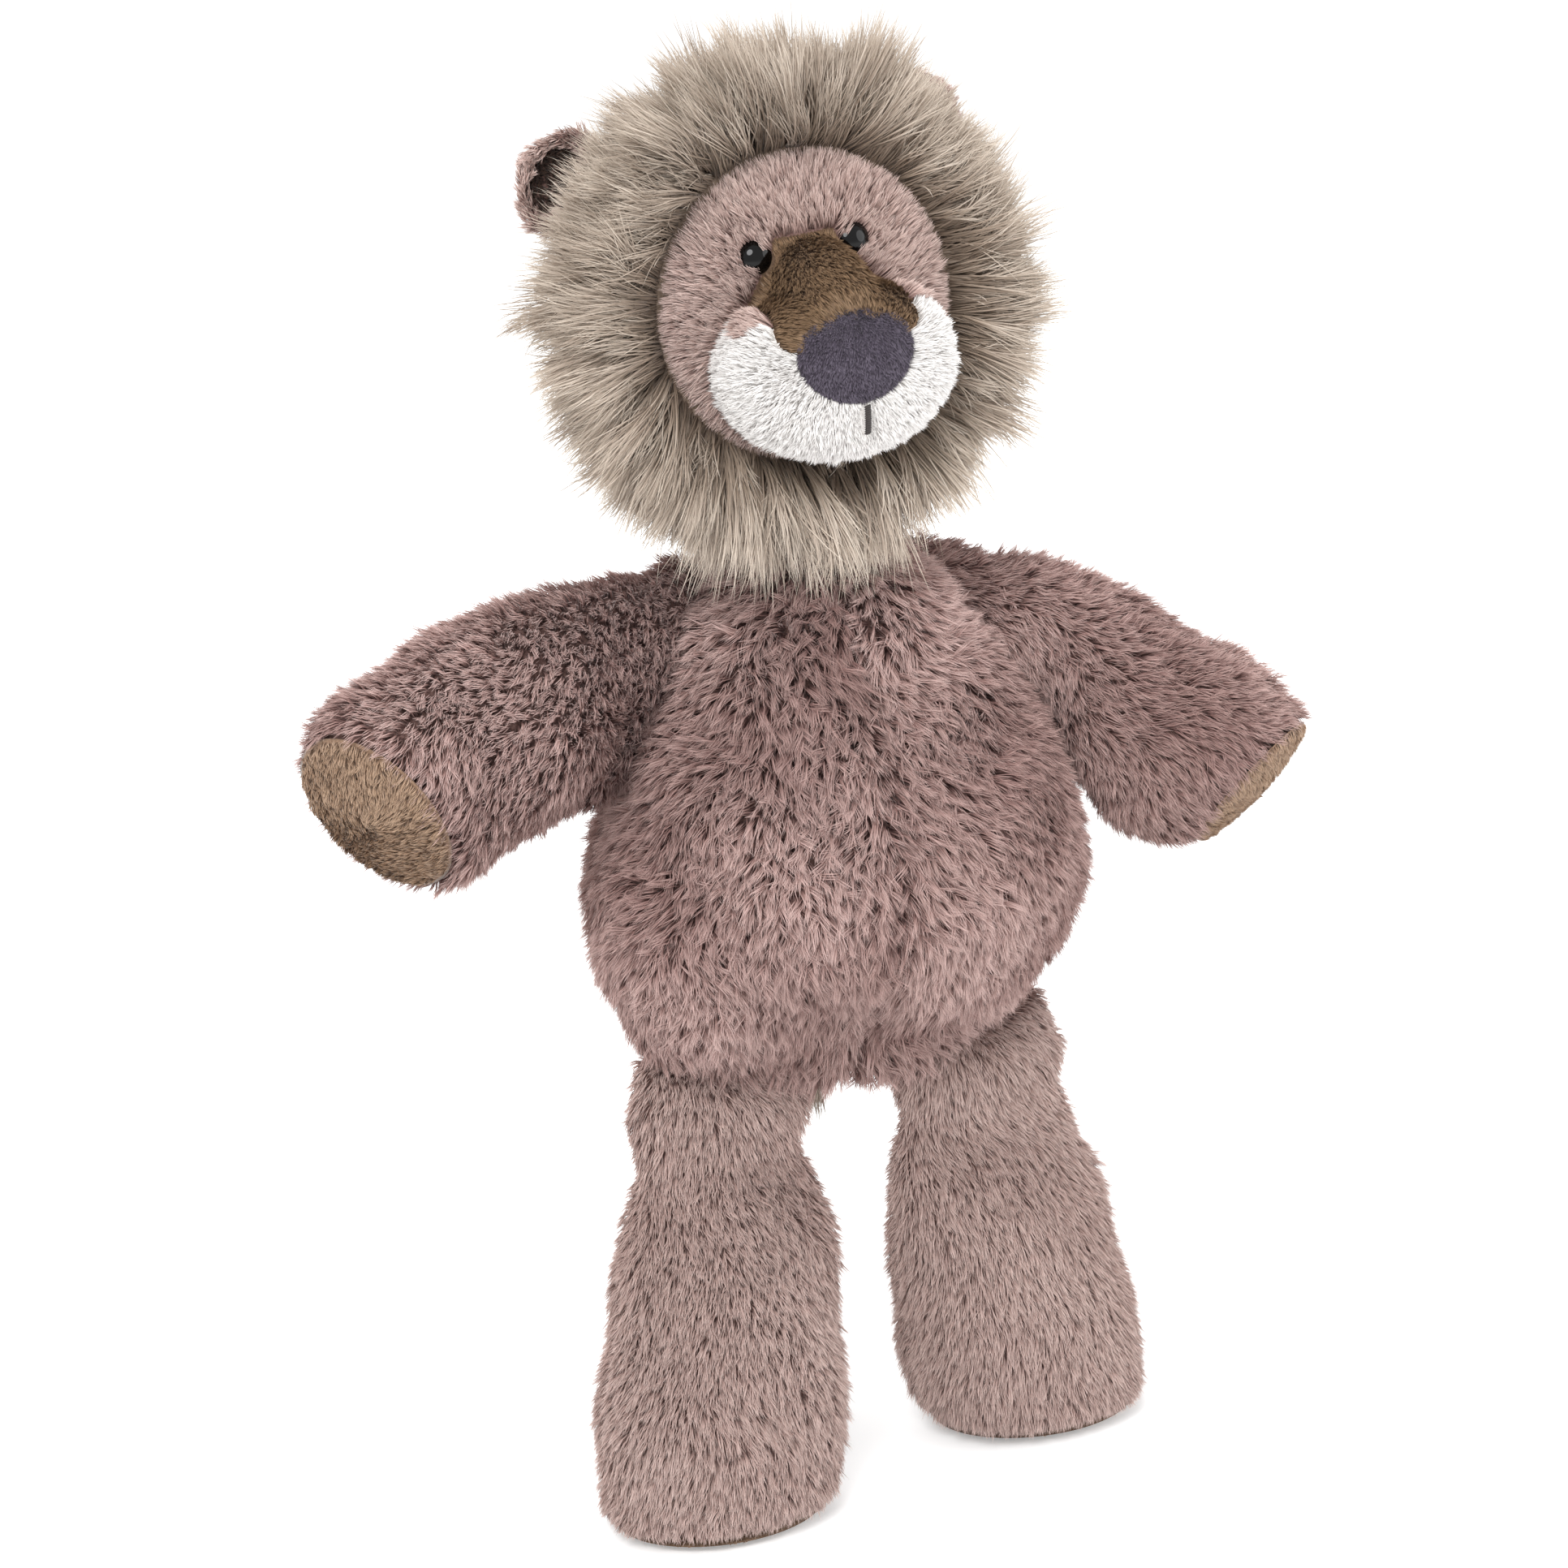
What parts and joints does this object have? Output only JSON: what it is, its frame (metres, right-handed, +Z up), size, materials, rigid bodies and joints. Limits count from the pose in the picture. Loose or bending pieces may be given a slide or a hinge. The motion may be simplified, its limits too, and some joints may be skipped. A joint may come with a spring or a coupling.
{
  "type": "plush lion toy",
  "caption": "Floppy plush lion with a pear-shaped body, shaggy mane, big pale muzzle, button eyes and bell-bottomed legs, standing on its soles.",
  "frame": {"origin": "centre of the bounding box in X and Y, at the height of the soles", "axes": "+Z up from the soles to the head, the toy faces -Y, and its left is +X"},
  "size_m": [0.2444, 0.0956, 0.3319],
  "materials": {
    "mauve_plush": "long soft pile, dusty mauve with dark roots and pale tips",
    "mane_plush": "long shaggy pile, beige grey",
    "white_plush": "short dense pile, off white",
    "bronze_plush": "very short pile, bronze brown with a soft sheen",
    "nose_plush": "very short pile, purple grey",
    "ear_lining_plush": "short pile, dark brown",
    "thread": "embroidery thread, near black",
    "filling": "loose polyester fibre",
    "black_plastic": "polished",
    "washer_plastic": "satin"
  },
  "bodies": {
    "torso": {"torso_front_left_panel": "mauve_plush", "torso_front_right_panel": "mauve_plush", "torso_back_left_panel": "mauve_plush", "torso_back_right_panel": "mauve_plush", "torso_filling": "filling"},
    "neck": {"neck_filling": "filling"},
    "head": {"head_back_panel": "mauve_plush", "face_panel": "mauve_plush", "mane_strip": "mane_plush", "muzzle_white_panel": "white_plush", "muzzle_bridge_panel": "bronze_plush", "nose_patch": "nose_plush", "mouth_stitch": "thread", "head_filling": "filling", "cheek_left_panel": "mauve_plush", "cheek_right_panel": "mauve_plush", "eye_left": "black_plastic", "eye_right": "black_plastic", "eye_washer_left": "washer_plastic", "eye_washer_right": "washer_plastic"},
    "ear_left": {"ear_left_outer": "mauve_plush", "ear_left_lining": "ear_lining_plush"},
    "arm_left": {"arm_left_front_panel": "mauve_plush", "arm_left_back_panel": "mauve_plush", "arm_left_paw_pad": "bronze_plush", "arm_left_filling": "filling"},
    "leg_left": {"leg_left_front_panel": "mauve_plush", "leg_left_back_panel": "mauve_plush", "leg_left_sole_pad": "bronze_plush", "leg_left_filling": "filling"},
    "ear_right": {"ear_right_outer": "mauve_plush", "ear_right_lining": "ear_lining_plush"},
    "arm_right": {"arm_right_front_panel": "mauve_plush", "arm_right_back_panel": "mauve_plush", "arm_right_paw_pad": "bronze_plush", "arm_right_filling": "filling"},
    "leg_right": {"leg_right_front_panel": "mauve_plush", "leg_right_back_panel": "mauve_plush", "leg_right_sole_pad": "bronze_plush", "leg_right_filling": "filling"},
    "tail": {"tail_tube": "mauve_plush", "tail_tuft": "mane_plush"}
  },
  "joints": [
    {"name": "neck_joint", "type": "hinge", "parent": "torso", "child": "neck", "pos_m": [0.00453, 0.00387, 0.23], "axis": [0, 0, 1], "range_deg": [-60, 60]},
    {"name": "head_joint", "type": "hinge", "parent": "neck", "child": "head", "pos_m": [0.00453, 0.00387, 0.23], "axis": [0.9986, 0, 0.0523], "range_deg": [-20, 20]},
    {"name": "ear_left_joint", "type": "hinge", "parent": "head", "child": "ear_left", "pos_m": [0.03616, 0.00987, 0.30554], "axis": [-0.6428, 0, 0.766], "range_deg": [-5, 35], "stiffness_Nm_per_rad": 0.02},
    {"name": "ear_right_joint", "type": "hinge", "parent": "head", "child": "ear_right", "pos_m": [-0.03482, 0.00987, 0.30182], "axis": [0.5592, 0, 0.829], "range_deg": [-35, 5], "stiffness_Nm_per_rad": 0.02},
    {"name": "arm_left_joint", "type": "hinge", "parent": "torso", "child": "arm_left", "pos_m": [0.04533, 0.00387, 0.195], "axis": [-0.4963, 0, 0.8681], "range_deg": [-28, 50]},
    {"name": "arm_right_joint", "type": "hinge", "parent": "torso", "child": "arm_right", "pos_m": [-0.03626, 0.00387, 0.195], "axis": [0.4963, 0, 0.8681], "range_deg": [-50, 28]},
    {"name": "leg_left_joint", "type": "hinge", "parent": "torso", "child": "leg_left", "pos_m": [0.03453, 0.00387, 0.0944], "axis": [1, 0, 0], "range_deg": [-70, 20]},
    {"name": "leg_right_joint", "type": "hinge", "parent": "torso", "child": "leg_right", "pos_m": [-0.02547, 0.00387, 0.0944], "axis": [1, 0, 0], "range_deg": [-70, 20]},
    {"name": "tail_joint", "type": "hinge", "parent": "torso", "child": "tail", "pos_m": [0.00453, 0.03981, 0.13], "axis": [1, 0, 0], "range_deg": [-5, 70]}
  ]
}
